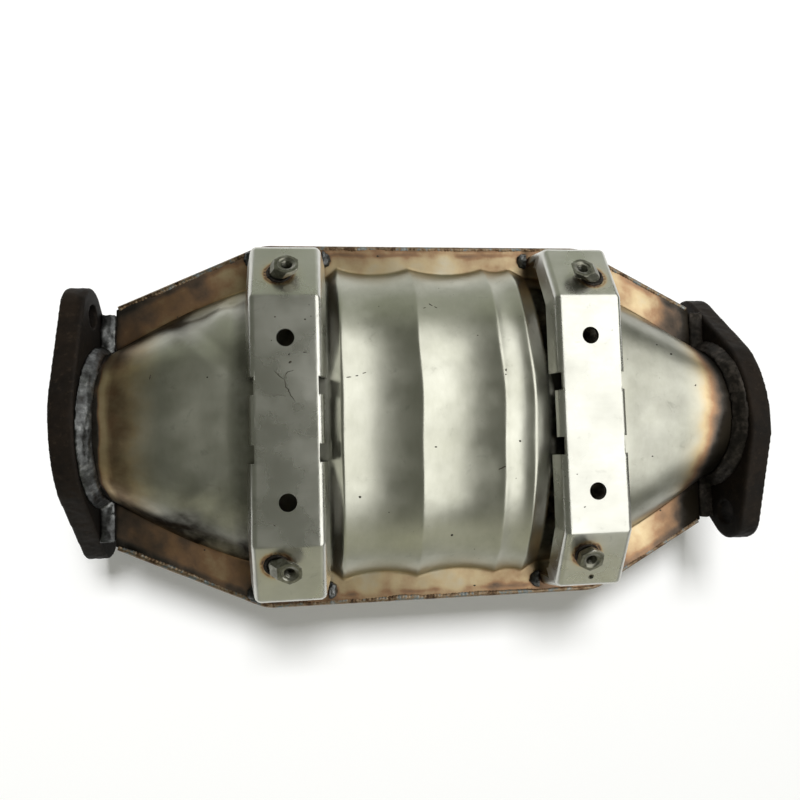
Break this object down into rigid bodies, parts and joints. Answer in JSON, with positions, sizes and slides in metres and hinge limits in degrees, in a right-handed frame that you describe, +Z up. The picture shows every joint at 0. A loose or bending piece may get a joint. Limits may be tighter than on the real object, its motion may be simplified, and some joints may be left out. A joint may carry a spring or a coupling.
{
  "type": "catalytic converter",
  "caption": "Stamped clamshell exhaust converter with a ribbed can, welded end flanges and bridge brackets for a heat shield; cleans gas over a ceramic core.",
  "frame": {"origin": "centre of the inlet flange's joint face", "axes": "+X along the gas flow from inlet to outlet, +Y across the part, +Z up through the side that carries the brackets"},
  "size_m": [0.34, 0.185, 0.088],
  "materials": {
    "shell_steel": "satin stainless sheet, heat tinted at its ends and seam",
    "bracket_steel": "satin stainless sheet with fine scratches",
    "flange_steel": "dark brown heat oxide, matt",
    "weld_metal": "rippled weld bead, heat tinted",
    "burnt_weld": "dark burnt weld metal",
    "nut_steel": "dull machined steel",
    "mat_fibre": "matt mineral fibre",
    "seal_mesh": "knitted wire rope seal",
    "ceramic": "matt coated ceramic honeycomb"
  },
  "bodies": {
    "root": {"ceramic_brick": "ceramic", "inlet_bracket": "bracket_steel", "inlet_end_seal": "seal_mesh", "inlet_flange": "flange_steel", "inlet_flange_weld": "weld_metal", "inlet_foot_weld_left": "weld_metal", "inlet_foot_weld_right": "weld_metal", "inlet_nut_left": "nut_steel", "inlet_nut_left_ring": "burnt_weld", "inlet_nut_right": "nut_steel", "inlet_nut_right_ring": "burnt_weld", "lower_shell": "shell_steel", "outlet_bracket": "bracket_steel", "outlet_end_seal": "seal_mesh", "outlet_flange": "flange_steel", "outlet_flange_weld": "burnt_weld", "outlet_foot_weld_left": "weld_metal", "outlet_foot_weld_right": "weld_metal", "outlet_nut_left": "nut_steel", "outlet_nut_left_ring": "burnt_weld", "outlet_nut_right": "nut_steel", "outlet_nut_right_ring": "burnt_weld", "seam_weld_left": "weld_metal", "seam_weld_right": "weld_metal", "support_mat": "mat_fibre", "upper_shell": "shell_steel"}
  },
  "joints": []
}
